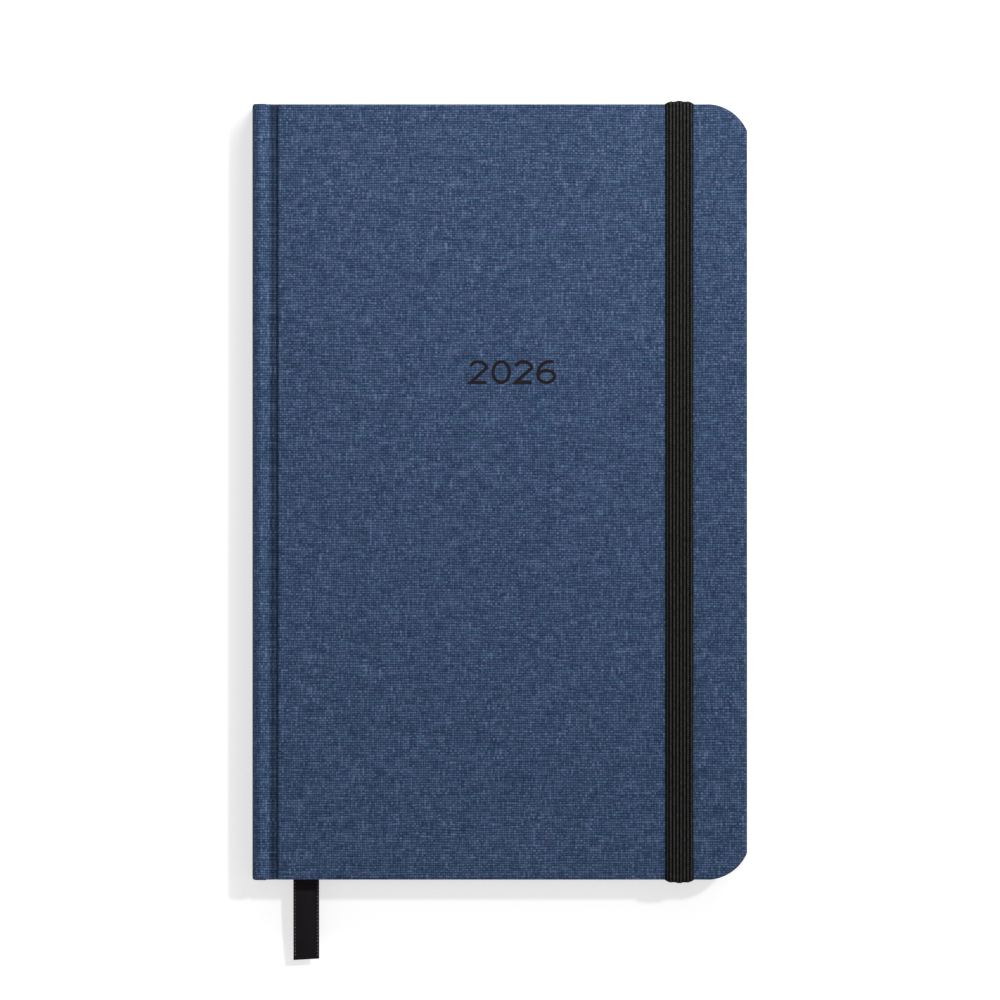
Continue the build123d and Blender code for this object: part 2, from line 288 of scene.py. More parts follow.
THREAD_PITCH = 0.642
THREAD_DRIFT = 0.9
CLOTH_DARK = (0.12, linear(15, 31, 54))
CLOTH_MIDDLE = (0.5, linear(38, 56, 81))
CLOTH_LIGHT = (0.92, linear(77, 94, 122))
SLUB_RANGE = (0.60, 0.74)
HUE_RANGE = (0.35, 0.65)
END_FACING = 0.75
CLOTH_RELIEF = 0.06
GREEN_TINT = (0.95, 1.03, 0.99, 1)
RED_TINT = (1.10, 0.96, 1.04, 1)
# What each effect adds to the cloth's tone, from 0 dark to 1 light
THREAD_SHARE = (1.15, -0.33)
PILLOW_SHARE = 0.46
SLUB_SHARE = 0.18
SPECK_SHARE = 0.8
# Painted light in stripes of the cloth along the spine, painted shade in the hinge groove and a painted
# highlight on the spine's flat top: (middle in x, half width, fade, brightness)
GROOVE_SHADE = (HINGE_EDGE - 1.5, 0.4, 0.8, 0.62)
SPINE_TOP_HIGHLIGHT = (HINGE_EDGE - 3.4, 1.0, 0.8, 1.3)


def stripe(tree, x, middle, half, fade, brightness):
    """A factor along x: brightness near the middle, easing to 1."""
    distance = calc(tree, "ABSOLUTE", calc(tree, "SUBTRACT", x, middle))
    eased = shade(tree, "MapRange", {0: distance, 1: half, 2: half + fade, 3: brightness, 4: 1.0})
    return eased.outputs[0]


def book_cloth():
    """Navy plain weave: uneven threads, light slubs, hue drift, painted shade in the hinge groove and a
    painted highlight on the spine's flat top.
    """
    material, tree, surface, (x, y, z) = start_material("book_cloth", 0.7)
    facing = shade(tree, "SeparateXYZ", {0: shade(tree, "TexCoord").outputs["Normal"]}).outputs[1]
    on_end = calc(tree, "GREATER_THAN", calc(tree, "ABSOLUTE", facing), END_FACING)
    u = calc(tree, "ADD", x, z)
    v = calc(tree, "MULTIPLY_ADD", z, on_end, y)
    # threads wander a little from straight lines
    drift_u = grain(tree, u, v, (0.5, 0.07))
    drift_v = grain(tree, u, v, (0.07, 0.5), 9.0)
    u = calc(tree, "MULTIPLY_ADD", drift_u, THREAD_DRIFT, u)
    v = calc(tree, "MULTIPLY_ADD", drift_v, THREAD_DRIFT, v)
    column_place = calc(tree, "DIVIDE", u, THREAD_PITCH)
    row_place = calc(tree, "DIVIDE", v, THREAD_PITCH)
    column = calc(tree, "FLOOR", column_place)
    row = calc(tree, "FLOOR", row_place)
    # uneven threads: tone changes from thread to thread, slowly along each one
    weft = grain(tree, u, row, (0.3, 7.31), 0.0, 2.0)
    warp = grain(tree, column, v, (5.17, 0.35), 4.0, 2.0)
    slub = grain(tree, column, v, (3.43, 0.22), 8.0)
    slub = shade(tree, "MapRange", {0: slub, 1: SLUB_RANGE[0], 2: SLUB_RANGE[1]}).outputs[0]
    # over and under: a checker of thread crossings, each crossing a small pillow
    over = calc(tree, "ABSOLUTE", calc(tree, "MODULO", calc(tree, "ADD", column, row), 2.0))
    across_u = wave(tree, column_place, 1.0)
    across_v = wave(tree, row_place, 1.0)
    pillow = calc(tree, "MULTIPLY", across_v, calc(tree, "MULTIPLY_ADD", across_u, 0.55, 0.45))
    thread = blend_value(tree, over, warp, weft)
    tone = calc(tree, "MULTIPLY_ADD", thread, *THREAD_SHARE)
    tone = calc(tree, "MULTIPLY_ADD", pillow, PILLOW_SHARE, tone)
    tone = calc(tree, "MULTIPLY_ADD", slub, SLUB_SHARE, tone)
    speck = noise(tree, combine(tree, u, v, 3.0), 2.6, 2.0)
    tone = calc(tree, "MULTIPLY_ADD", calc(tree, "SUBTRACT", speck, 0.5), SPECK_SHARE, tone)
    ramp = shade(tree, "ValToRGB", {0: tone})
    stops = ramp.color_ramp.elements
    stops[0].position, stops[0].color = CLOTH_DARK
    stops[1].position, stops[1].color = CLOTH_LIGHT
    stops.new(CLOTH_MIDDLE[0]).color = CLOTH_MIDDLE[1]
    hue = grain(tree, u, v, (0.2, 0.6), 6.0, 2.0)
    hue = shade(tree, "MapRange", {0: hue, 1: HUE_RANGE[0], 2: HUE_RANGE[1]}).outputs[0]
    tinted = blend_colour(tree, hue, GREEN_TINT, RED_TINT)
    colour = blend_colour(tree, 1.0, ramp.outputs[0], tinted, "MULTIPLY")
    # painted shade in the hinge groove and a painted highlight on the spine's flat top, scaling the colour
    wear_and_painted_light = calc(tree, "MULTIPLY", stripe(tree, x, *GROOVE_SHADE), stripe(tree, x, *SPINE_TOP_HIGHLIGHT))
    colour = shade(tree, "VectorMath", {0: colour, "Scale": wear_and_painted_light}, operation="SCALE").outputs[0]
    tree.links.new(colour, surface.inputs["Base Color"])
    height = calc(tree, "MULTIPLY_ADD", thread, 0.5, pillow)
    add_bump(tree, surface, height, CLOTH_RELIEF, 0.7)
    return material


STRAP_X, _, STRAP_Z = span("elastic_strap")
STRAP_RIBS = 8
STRAP_CENTRE = sum(STRAP_X) / 2
STRAP_PITCH = (STRAP_X[1] - STRAP_X[0]) / STRAP_RIBS
TWIST_PITCH = 0.62
TWIST_SLANT = 0.9
CORD_SHARPNESS = 3.2


def elastic_weave():
    """Black elastic: each rib a twisted cord, with painted highlights on the crests and along the twist, and
    painted shade between ribs and on the rib nearest the spine.
    """
    material, tree, surface, (x, y, z) = start_material("elastic_weave", 0.8)
    surface.inputs["Specular IOR Level"].default_value = 0.02
    across = calc(tree, "DIVIDE", calc(tree, "SUBTRACT", x, STRAP_X[0]), STRAP_PITCH)
    # painted highlight on each rib's crest, painted shade in the valleys between ribs
    crest_highlight = calc(tree, "POWER", wave(tree, across, 1.0), CORD_SHARPNESS)
    run = calc(tree, "ADD", y, z)
    turn = calc(tree, "MULTIPLY", run, 2 * math.pi / TWIST_PITCH)
    turn = calc(tree, "MULTIPLY_ADD", across, 2 * math.pi * TWIST_SLANT, turn)
    twist = calc(tree, "MULTIPLY_ADD", calc(tree, "SINE", turn), 0.5, 0.5)
    uneven = grain(tree, across, run, (1.7, 0.9), 0.0, 3.0)
    # the crest highlight broken into painted diagonal highlights along the twist
    tone = calc(tree, "MULTIPLY", crest_highlight, calc(tree, "MULTIPLY_ADD", twist, 0.5, 0.5))
    tone = calc(tree, "MULTIPLY", tone, calc(tree, "MULTIPLY_ADD", uneven, 2.0, -0.05))
    # painted shade on the rib nearest the spine, the side turned away from the light
    first_rib_shade = shade(tree, "MapRange", {0: across, 1: 0.1, 2: 0.9, 3: 0.15, 4: 1.0}).outputs[0]
    tone = calc(tree, "MULTIPLY", tone, first_rib_shade)
    # from painted shade to painted highlight
    colour = blend_colour(tree, tone, linear(3, 3, 3), linear(56, 56, 55))
    tree.links.new(colour, surface.inputs["Base Color"])
    add_bump(tree, surface, twist, 0.05, 0.5)
    return material


SATIN_PITCH = 0.22


def satin():
    """Near-black satin ribbon with very fine cross threads."""
    material, tree, surface, (x, y, _) = start_material("ribbon_satin", 0.42)
    fine = calc(tree, "SINE", calc(tree, "MULTIPLY", y, 2 * math.pi / SATIN_PITCH))
    cloud = grain(tree, x, y, (0.6, 0.25), 0.0, 2.0)
    tone = calc(tree, "MULTIPLY_ADD", fine, 0.08, cloud)
    colour = blend_colour(tree, tone, linear(12, 8, 12), linear(21, 16, 21))
    tree.links.new(colour, surface.inputs["Base Color"])
    surface.inputs["Anisotropic"].default_value = 0.5
    add_bump(tree, surface, fine, 0.01, 0.4)
    return material


def stitching():
    """Dull grey selvedge stitches."""
    material, tree, surface, (x, y, z) = start_material("selvedge_stitch", 0.8)
    wear_and_painted_light = noise(tree, combine(tree, x, y, z), 2.0, 2.0)
    colour = blend_colour(tree, wear_and_painted_light, linear(62, 58, 56), linear(106, 101, 97))
    tree.links.new(colour, surface.inputs["Base Color"])
    return material


def stamp_pigment():
    """Dull near-black pigment, slightly patchy."""
    material, tree, surface, (x, y, _) = start_material("stamp_pigment", 0.7, rides_cad=True)
    patch = noise(tree, combine(tree, x, y), 2.2, 3.0)
    colour = blend_colour(tree, patch, linear(10, 9, 12), linear(26, 21, 26))
    tree.links.new(colour, surface.inputs["Base Color"])
    add_bump(tree, surface, patch, 0.03, 0.6)
    return material


LINE_PITCH = 7.0
LINE_WIDTH = 0.14
COLUMN_PITCH = 17.0
# Whole pitches added before a remainder is taken, so that it is never taken of a negative number
SPARE_PITCHES = 100
TABLE_END_MARGIN = 11
TABLE_GUTTER_MARGIN = 10
TABLE_SIDE_MARGIN = 7
PAGE_COLOURS = (linear(224, 219, 206), linear(234, 230, 219))
ENDPAPER_COLOURS = (linear(212, 205, 190), linear(223, 217, 203))
LINE_COLOUR = linear(142, 160, 184)
PAPERS = []


def paper(name, colours, ruled=False, rides_cad=False):
    """Matt paper with faint fibres, ruled as a blank log table when asked; noted in PAPERS."""
    material, tree, surface, (x, y, z) = start_material(name, 0.9, rides_cad)
    fibre = noise(tree, combine(tree, x, y, calc(tree, "MULTIPLY", z, 6.0)), 0.9, 5.0)
    colour = blend_colour(tree, fibre, *colours)
    if ruled:
        rows = calc(tree, "ADD", y, SPARE_PITCHES * LINE_PITCH)
        columns = calc(tree, "ADD", x, SPARE_PITCHES * COLUMN_PITCH)
        on_row = calc(tree, "LESS_THAN", calc(tree, "MODULO", rows, LINE_PITCH), LINE_WIDTH)
        on_column = calc(tree, "LESS_THAN", calc(tree, "MODULO", columns, COLUMN_PITCH), LINE_WIDTH)
        line = calc(tree, "MAXIMUM", on_row, on_column)
        for inside in (
            calc(tree, "LESS_THAN", calc(tree, "ABSOLUTE", y), PAGE_Y[1] - TABLE_END_MARGIN),
            calc(tree, "GREATER_THAN", x, PAGE_X[0] + TABLE_GUTTER_MARGIN),
            calc(tree, "LESS_THAN", x, PAGE_X[1] - TABLE_SIDE_MARGIN),
        ):
            line = calc(tree, "MULTIPLY", line, inside)
        colour = blend_colour(tree, line, colour, LINE_COLOUR)
    tree.links.new(colour, surface.inputs["Base Color"])
    add_bump(tree, surface, fibre, 0.02, 0.3)
    PAPERS.append(material)
    return material


def plain_noise(name, colour_a, colour_b, scale, relief=0.05):
    """Mottled matt finish for a hidden CAD node, such as board or lining paper."""
    material, tree, surface, (x, y, z) = start_material(name, 0.9, rides_cad=True)
    mottle = noise(tree, combine(tree, x, y, z), scale, 4.0)
    tree.links.new(blend_colour(tree, mottle, colour_a, colour_b), surface.inputs["Base Color"])
    add_bump(tree, surface, mottle, relief, 0.5)
    return material


GAUZE_PITCH = 1.1


def gauze():
    """Open starched gauze for the mull."""
    material, tree, surface, (x, y, z) = start_material("mull_gauze", 0.9, rides_cad=True)
    warp = wave(tree, calc(tree, "ADD", x, z), GAUZE_PITCH)
    weft = wave(tree, y, GAUZE_PITCH)
    thread = calc(tree, "MAXIMUM", warp, weft)
    colour = blend_colour(tree, thread, linear(150, 140, 120), linear(226, 221, 206))
    tree.links.new(colour, surface.inputs["Base Color"])
    add_bump(tree, surface, thread, 0.1, 0.6)
    return material


BAND_PITCH = 1.5


def band_silk():
    """Navy and cream stripes wound round the band's core."""
    material, tree, surface, (x, y, z) = start_material("band_silk", 0.5)
    winding = calc(tree, "SINE", calc(tree, "MULTIPLY", z, 2 * math.pi / BAND_PITCH))
    navy = calc(tree, "GREATER_THAN", winding, 0.0)
    fine = noise(tree, combine(tree, x, y, calc(tree, "MULTIPLY", z, 4.0)), 2.0, 2.0)
    pale = blend_colour(tree, fine, linear(196, 190, 176), linear(232, 227, 214))
    dark = blend_colour(tree, fine, linear(26, 38, 66), linear(48, 62, 96))
    tree.links.new(blend_colour(tree, navy, pale, dark), surface.inputs["Base Color"])
    return material


CLOTH_LOOK = book_cloth()
ELASTIC_LOOK = elastic_weave()
SATIN_LOOK = satin()
STITCH_LOOK = stitching()
PAGE_LOOK = paper("page_paper", PAGE_COLOURS, ruled=True)
ENDPAPER_LOOK = paper("endpaper", ENDPAPER_COLOURS)
BAND_LOOK = band_silk()


# ---------------------------------------------------------------- the case

def groove_top(x):
    """Height of the front cloth's outer face near the hinge: lip, pressed groove, board edge."""
    drop = THICK - GROOVE_FLOOR
    fall = smooth(x, LIP_START, HINGE_EDGE - 1.1)
    rise = smooth(x, HINGE_EDGE - 0.6, HINGE_EDGE + 0.35)
    return THICK - drop * fall * (1 - rise)


def groove_under(x):
    """Height of the front cloth's inner face: one cloth below in the groove, flat under the board."""
    return max(COVER_IN, groove_top(x) - CLOTH) if x < HINGE_EDGE - 0.35 else COVER_IN


# Extra points across the hinge, so that the groove is smooth and the cloth can bend
HINGE_STEPS = (0, 0.4, 0.7, 1.0, 1.2, 1.4, 1.6, 1.8, 2.0, 2.2, 2.4, 2.6, 2.8,
               3.0, 3.1, 3.2, 3.3, 3.45, 3.6, 3.75, 4.0, 4.5, 5.5)
HINGE_COLUMNS = [SPINE_SEAM + step for step in HINGE_STEPS]
CORNER_STEPS = 14
CLOTH_SHARP = 50
# Rounding of the cloth round a board's edge: (inset from the outline, share of the thickness)
EDGE_STEPS = ((1.2, 0.0), (0.45, 0.0), (0.15, 0.04), (0.03, 0.1), (0.0, 0.2), (0.0, 0.78), (0.04, 0.88),
              (0.16, 0.955), (0.38, 0.99), (0.7, 1.0), (1.5, 1.0))


def cover_outline(inset):
    """Outline from the hinge at the tail, round the fore-edge, to the hinge at the head."""
    right, top = RIGHT - inset, TOP - inset
    tail = arc((right - CORNER_RUN[0], -top), (right, CORNER_RUN[1] - top), CORNER_SAGITTA, CORNER_STEPS)
    head = [(px, -py) for px, py in reversed(tail)]
    side = [(x, -top) for x in HINGE_COLUMNS]
    return side + tail + head + [(px, -py) for px, py in reversed(side)]


def cover_shell(name, front):
    """Cloth of one cover with its groove, as a closed shell; the back is the front turned over."""
    loops = []
    for inset, share in EDGE_STEPS:
        loop = []
        for x, y in cover_outline(inset):
            low, high = groove_under(x), groove_top(x)
            z = low + share * (high - low)
            loop.append((x, y, z if front else THICK - z))
        loops.append(loop)
    return make_piece(name, *loft_in_strips(loops, len(HINGE_COLUMNS)), CLOTH_LOOK, sharp=CLOTH_SHARP)


def spine_profile(inset):
    """Cross-section (x, z) of the spine cloth and its board, outer face drawn in by inset."""
    points = [(SPINE_SEAM, THICK - inset)]
    radius = SHOULDER_RADIUS - inset
    centre = LEFT + SHOULDER_RADIUS
    for quarter, height in ((90, THICK - SHOULDER_RADIUS), (180, SHOULDER_RADIUS)):
        for step in range(11):
            angle = math.radians(quarter + 9 * step)
            points.append((centre + radius * math.cos(angle), height + radius * math.sin(angle)))
    points.append((SPINE_SEAM, inset))
    inner_x = span("spine_board")[0][1]
    inside = [(SPINE_SEAM, CLOTH), (inner_x + 0.75, CLOTH)]
    inside += [(inner_x + 0.2, CLOTH + 0.25), (inner_x, CLOTH + 0.8)]
    return points + inside + [(px, THICK - pz) for px, pz in reversed(inside)]


# Rounding of the spine cloth at head and tail: (back from the end, inset)
SPINE_TURN_IN = ((0.0, 0.75), (0.05, 0.45), (0.2, 0.2), (0.45, 0.06), (0.9, 0.0))


def spine_shell():
    """Spine cloth turned in at head and tail, standing a little proud of the boards there."""
    end = TOP + SPINE_PROUD
    turn_in = [(end - back, inset) for back, inset in SPINE_TURN_IN]
    rows = turn_in + [(y, 0.0) for y in (70, 35, 0, -35, -70)]
    rows += [(-y, inset) for y, inset in reversed(turn_in)]
    loops = [[(x, y, z) for x, z in spine_profile(inset)] for y, inset in rows]
    return make_piece("spine_cloth_shell", *loft(loops), CLOTH_LOOK, sharp=CLOTH_SHARP)


RECESS_OVERSHOOT = 1
WELD_DISTANCE = 0.001


def press_year(front):
    """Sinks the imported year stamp's own outlines into the front cloth."""
    stamp = frame["nodes"]["year_stamp"].data
    middle = sum(span("year_stamp")[2]) / 2 * MM
    above = (THICK + RECESS_OVERSHOOT) * MM
    # built from bare points: a copied mesh would pass its stored normals on to the cloth
    shell = bmesh.new()
    for vert in stamp.vertices:
        shell.verts.new((vert.co.x, vert.co.y, above if vert.co.z > middle else vert.co.z))
    shell.verts.ensure_lookup_table()
    for face in stamp.polygons:
        shell.faces.new([shell.verts[i] for i in face.vertices])
    bmesh.ops.remove_doubles(shell, verts=shell.verts, dist=WELD_DISTANCE * MM)
    bmesh.ops.recalc_face_normals(shell, faces=shell.faces)
    mesh = bpy.data.meshes.new("recess")
    shell.to_mesh(mesh)
    shell.free()
    recess = bpy.data.objects.new("recess", mesh)
    bpy.context.scene.collection.objects.link(recess)
    boolean(front, recess)
    front.data.shade_smooth()
    front.data.set_sharp_from_angle(angle=math.radians(CLOTH_SHARP))


def build_case():
    """Cloth of both covers and the spine, with extra points across the hinges."""
    front = cover_shell("front_cover_cloth_shell", True)
    press_year(front)
    back = cover_shell("back_cover_cloth_shell", False)
    spine = spine_shell()
    for piece in (front, back, spine):
        finish_piece(piece)
    for piece, side, z in ((front, "front", THICK), (back, "back", 0)):
        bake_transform(piece)
        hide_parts(side + "_cover_cloth", side + "_joint_cloth")
    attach(spine, "text_block")
    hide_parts("spine_cloth")


# ---------------------------------------------------------------- paper

PAGE_CORNER = 8.0
PAPER_SHARP = 30


def page_outline(left, inset=0.0, columns=()):
    """Plan outline of a sheet from x = left to the fore-edge, with extra points along its sides."""
    right, top = PAGE_X[1] - inset, PAGE_Y[1] - inset
    centre = (right - PAGE_CORNER, PAGE_CORNER - top)
    turns = [math.radians(-90 + 9 * i) for i in range(11)]
    tail = [(centre[0] + PAGE_CORNER * math.cos(t), centre[1] + PAGE_CORNER * math.sin(t)) for t in turns]
    side = [(x, -top) for x in (left, *columns)]
    half = side + tail
    return half + [(x, -y) for x, y in reversed(half)]


def sheet(name, left, low, high, look, columns=()):
    """One flat sheet of paper as a closed slab, split at columns so that it can bend there."""
    outline = page_outline(left, 0.0, columns)
    loops = [[(x, y, z) for x, y in outline] for z in (low, high)]
    return make_piece(name, *loft_in_strips(loops, len(columns) + 1), look, sharp=PAPER_SHARP)


SHEETS_PER_SIGNATURE = 8
SHEET_SHARE = 0.86
TRIM_SCATTER = 0.12
FOLD_ROUNDING = 0.3
chance = random.Random(7)


def signature_sheets(node):
    """A sewn signature as its stacked sheets, each trimmed a hair differently."""
    z_low, z_high = span(node)[2]
    pitch = (z_high - z_low) / SHEETS_PER_SIGNATURE
    verts, faces = [], []
    for level in range(SHEETS_PER_SIGNATURE):
        outer = abs(level - (SHEETS_PER_SIGNATURE - 1) / 2) / (SHEETS_PER_SIGNATURE / 2)
        left = PAGE_X[0] + 0.02 + FOLD_ROUNDING * outer ** 3
        outline = page_outline(left, chance.uniform(0, TRIM_SCATTER))
        low = z_low + level * pitch
        loops = [[(x, y, z) for x, y in outline] for z in (low, low + SHEET_SHARE * pitch)]
        more_verts, more_faces = loft(loops)
        faces += [tuple(i + len(verts) for i in face) for face in more_faces]
        verts += more_verts
    piece = make_piece(node + "_sheets", verts, faces, PAGE_LOOK, sharp=PAPER_SHARP)
    finish_piece(piece)
    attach(piece, "text_block")
    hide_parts(node)


LEAF_ROOT = span("signature_01_fold")[0][1] - 0.2


def turning_leaf(body, look):
    """A loose leaf that runs out of its fold, with extra columns round its turning pivot."""
    low, high = span(body)[2]
    pivot = PIVOTS[body + "_turn"][0] / MM
    columns = [pivot - 0.5 + 0.75 * i for i in range(16)]
    piece = sheet(body + "_sheet", LEAF_ROOT, low, high, look, columns)
    finish_piece(piece)
    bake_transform(piece)
    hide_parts(body)


def pastedown(side):
    """The endpaper glued to a cover, running over the inner joint to the text block."""
    low, high = span(side + "_pastedown")[2]
    root = SPINE_SEAM + 0.1
    columns = [root + 0.2 * i for i in range(1, 20)]
    piece = sheet(side + "_pastedown_sheet", root, low, high, ENDPAPER_LOOK, columns)
    finish_piece(piece)
    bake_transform(piece)
    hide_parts(side + "_pastedown")


LOOSE_LEAVES = 8


def build_paper():
    """Signatures, the loose leaves of the first one, the flyleaf and the pastedowns."""
    for node in sorted(frame["nodes"]):
        if node.startswith("signature_") and node != "signature_01_fold":
            signature_sheets(node)
    for number in range(1, LOOSE_LEAVES + 1):
        turning_leaf(f"leaf_{number:02d}", PAGE_LOOK)
    turning_leaf("front_flyleaf", ENDPAPER_LOOK)
    pastedown("front")
    pastedown("back")


# ---------------------------------------------------------------- strap, ribbon and bands

STRAP_HALF = (STRAP_X[1] - STRAP_X[0]) / 2
STRAP_THICK = STRAP_Z[1] - THICK
RIB_STEPS = 6
RIB_DEPTH = 0.26
RIB_TOP_GAP = 0.12
THINNEST = 0.12
STRAP_GAP = 0.05
STRAP_CURVE = 0.45
SIDE_STEP = 0.22
TOP_STEP = 0.24
TURN_FADE = 2.2


def strap_path():
    """Points (y, z, outward y, outward z) down the middle of the strap's underside, tail to head."""
    edge, top = TOP + STRAP_GAP, THICK + STRAP_GAP
    entry = span("strap_end_head")[2][1]
    half = [(edge - 1.5, entry - 0.3, 0, -1), (edge - 0.6, entry - 0.3, 0, -1)]
    half.append((edge - 0.1, entry - 0.15, 0.7, -0.7))
    side_steps = int((top - STRAP_CURVE - entry - 0.25) / SIDE_STEP) + 1
    half += [(edge, entry + 0.25 + SIDE_STEP * i, 1, 0) for i in range(side_steps)]
    for i in range(9):
        t = math.radians(90 * i / 8)
        ny, nz = math.cos(t), math.sin(t)
        half.append((edge - STRAP_CURVE + STRAP_CURVE * ny, top - STRAP_CURVE + STRAP_CURVE * nz, ny, nz))
    flat = edge - STRAP_CURVE
    count = int(flat / TOP_STEP)
    half += [(flat * (1 - i / count), top, 0, 1) for i in range(1, count)]
    return [(-y, z, -ny, nz) for y, z, ny, nz in half] + [(0, top, 0, 1)] + half[::-1]


def build_strap():
    """Ribbed elastic: cords stand up across the width, and flatten where the band turns the edges."""
    wobble = [chance.uniform(-0.06, 0.06) for _ in range(STRAP_RIBS)]
    swell = [chance.uniform(0.85, 1.1) for _ in range(STRAP_RIBS)]
    loops, run = [], 0.0
    path = strap_path()
    for i, (y, z, ny, nz) in enumerate(path):
        if i:
            run += math.dist((y, z), path[i - 1][:2])
        turn = math.exp(-max(0, TOP - abs(y)) / TURN_FADE)
        loop = []
        for step in range(STRAP_RIBS * RIB_STEPS + 1):
            across = step / RIB_STEPS
            rib = min(int(across), STRAP_RIBS - 1)
            place = across / STRAP_RIBS * 2 - 1
            phase = 2 * math.pi * (run / TWIST_PITCH + across * TWIST_SLANT)
            cord = abs(math.sin(math.pi * across)) ** 0.7 * (1 + 0.12 * math.sin(phase)) * swell[rib]
            dome = math.sqrt(max(0, 1 - (0.97 * place) ** 2))
            lumps = 0.1 * math.cos(3 * math.pi * place)
            height = STRAP_THICK - RIB_DEPTH - RIB_TOP_GAP + RIB_DEPTH * cord * (1 - 0.6 * turn)
            height = max(THINNEST, height - turn * (0.75 * (1 - dome) - 0.2 * dome - lumps))
            drift = 0.05 * math.sin(run * 0.31 + rib) + wobble[rib]
            edge = min(across, STRAP_RIBS - across)
            x = STRAP_CENTRE + STRAP_HALF * place * (1 + 0.035 * turn) + drift * min(1, edge)
            if step in (0, STRAP_RIBS * RIB_STEPS):
                height = 0.35 * STRAP_THICK * (1 - 0.7 * turn)
            loop.append((x, y + ny * height, z + nz * height))
        for share in (0.96, 0.4, -0.4, -0.96):
            loop.append((STRAP_CENTRE + STRAP_HALF * share, y, z))
        loops.append(loop)
    piece = make_piece("elastic_strap_band", *loft(loops), ELASTIC_LOOK, sharp=80)
    finish_piece(piece)
    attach(piece, "strap")
    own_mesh(piece)
    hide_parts("elastic_strap")


RIBBON_X, RIBBON_Y, RIBBON_Z = span("ribbon_tail")
RIBBON_SLANT = 0.4
RIBBON_DROOP = 2.2
RIBBON_DRAW = 7.0
RIBBON_DRAW_FROM = 50
RIBBON_DRAW_TO = 95
RIBBON_HALF = (RIBBON_X[1] - RIBBON_X[0]) / 2
RIBBON_THICK = RIBBON_Z[1] - RIBBON_Z[0]
RIBBON_END = RIBBON_Y[0] + RIBBON_SLANT / 2
# Cross-section of the ribbon: (share of the half width, share of the thickness)
RIBBON_PROFILE = ((-1, 0.5), (-0.985, 0.95), (-0.93, 1.0), (-0.88, 0.72), (-0.5, 0.70), (0, 0.74),
                  (0.5, 0.70), (0.88, 0.72), (0.93, 1.0), (0.985, 0.95), (1, 0.5), (0.985, 0.02),
                  (0, 0.0), (-0.985, 0.02))
STITCH_INSET = 0.46
STITCH_PITCH = 0.93
STITCH_HALF = (0.15, 0.27, 0.07)


def ribbon_centre(y):
    """Middle of the ribbon's width: straight, but drawn towards the spine near the head."""
    middle = sum(RIBBON_X) / 2
    return middle - RIBBON_DRAW * smooth(y, RIBBON_DRAW_FROM, RIBBON_DRAW_TO)


def ribbon_height(y):
    """The tail droops a little once it leaves the pages."""
    out = max(0, -TOP - 0.6 - y) / (-TOP - 0.6 - RIBBON_Y[0])
    return RIBBON_Z[0] - RIBBON_DROOP * out ** 2


def build_ribbon():
    """One woven ribbon from the spine to its slanted end, with thickened selvedges."""
    start, out = PAGE_Y[1] - 3, -TOP + 2
    rows = [start + (out - start) * i / 40 for i in range(40)]
    rows += [out + (RIBBON_END - out) * i / 60 for i in range(61)]
    loops = []
    for y in rows:
        slant = RIBBON_SLANT / 2 * smooth(-y, TOP + 10, -RIBBON_END)
        centre, low = ribbon_centre(y), ribbon_height(y)
        loops.append([(centre + RIBBON_HALF * px, y + slant * px, low + RIBBON_THICK * pz)
                      for px, pz in RIBBON_PROFILE])
    piece = make_piece("ribbon_satin", *loft(loops), SATIN_LOOK, sharp=60)
    finish_piece(piece)
    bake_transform(piece)
    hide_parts("ribbon_marker", "ribbon_tail")


def stitch(place, lean):
    """One small stitch: an ellipsoid leaning sideways, as verts and faces."""
    size = (STITCH_HALF[0] * chance.uniform(0.8, 1.15), STITCH_HALF[1] * chance.uniform(0.75, 1.1),
            STITCH_HALF[2])
    loops = []
    for ring in range(1, 6):
        t = math.pi * ring / 6
        dy = math.cos(t) * size[1]
        loop = []
        for step in range(8):
            a = 2 * math.pi * step / 8
            dx, dz = math.sin(t) * math.cos(a) * size[0], math.sin(t) * math.sin(a) * size[2]
            loop.append((place[0] + dx + lean * dy, place[1] + dy, place[2] + dz))
        loops.append(loop)
    return loft(loops)


def build_stitches():
    """Stitches down both selvedges of the ribbon's tail."""
    verts, faces = [], []
    for side in (-1, 1):
        for i in range(int((-TOP - 1 - RIBBON_END) / STITCH_PITCH)):
            y = -TOP - 1.1 - STITCH_PITCH * i
            x = ribbon_centre(y) + side * (RIBBON_HALF - STITCH_INSET) + chance.uniform(-0.04, 0.04)
            z = ribbon_height(y) + RIBBON_THICK
            more_verts, more_faces = stitch((x, y, z), chance.uniform(0.2, 0.5))
            faces += [tuple(k + len(verts) for k in face) for face in more_faces]
            verts += more_verts
    stitches = make_piece("ribbon_stitches", verts, faces, STITCH_LOOK, sharp=80)
    finish_piece(stitches)
    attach(stitches, "ribbon_tail")


BAND_SIDES = 20
BAND_STEP = 0.1


def build_bands():
    """Head and tail bands: thread wound tightly round a core."""
    for node, end in (("headband", 1), ("tailband", -1)):
        (x_low, x_high), (y_low, y_high), (z_low, z_high) = span(node)
        radius = (x_high - x_low) / 2
        centre = (x_low + radius, (y_high - radius) if end > 0 else (y_low + radius))
        turns = [2 * math.pi * i / BAND_SIDES for i in range(BAND_SIDES)]
        loops = []
        steps = int((z_high - z_low) / BAND_STEP)
        for step in range(steps + 1):
            z = z_low + (z_high - z_low) * step / steps
            r = radius * (0.93 + 0.07 * math.cos(4 * math.pi * z / BAND_PITCH))
            loops.append([(centre[0] + r * math.cos(t), centre[1] + r * math.sin(t), z) for t in turns])
        piece = make_piece(node + "_winding", *loft(loops), BAND_LOOK, sharp=60)
        finish_piece(piece)
        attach(piece, "text_block")
        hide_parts(node)


